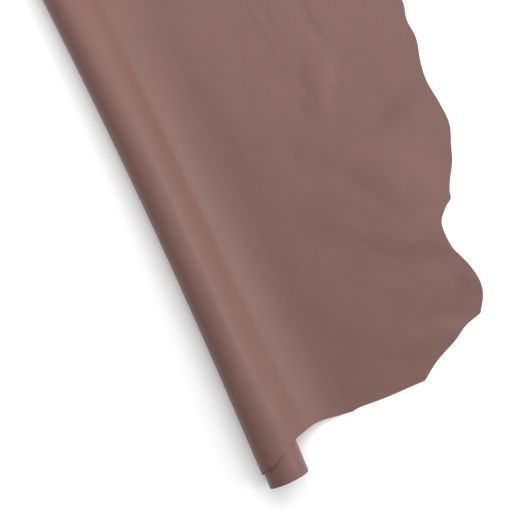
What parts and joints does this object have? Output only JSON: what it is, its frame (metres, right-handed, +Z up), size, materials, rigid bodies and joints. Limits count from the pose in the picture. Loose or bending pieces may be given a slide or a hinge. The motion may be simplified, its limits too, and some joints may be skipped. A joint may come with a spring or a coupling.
{
  "type": "leather hide",
  "caption": "Whole smooth leather hide, partly rolled: a loose roll with one side laid out flat, showing its natural wavy cut edge.",
  "frame": {"origin": "on the floor, under the middle of the bounding box of the whole hide", "axes": "+Y along the roll, from the end where the second turn stands out to the far end; +X from the roll towards the laid-out flank; +Z up"},
  "size_m": [0.857, 2.0976, 0.076],
  "materials": {
    "leather": "matte, smooth grain side with a soft sheen; pale napped flesh side"
  },
  "bodies": {
    "root": {"hide": "leather"}
  },
  "joints": []
}
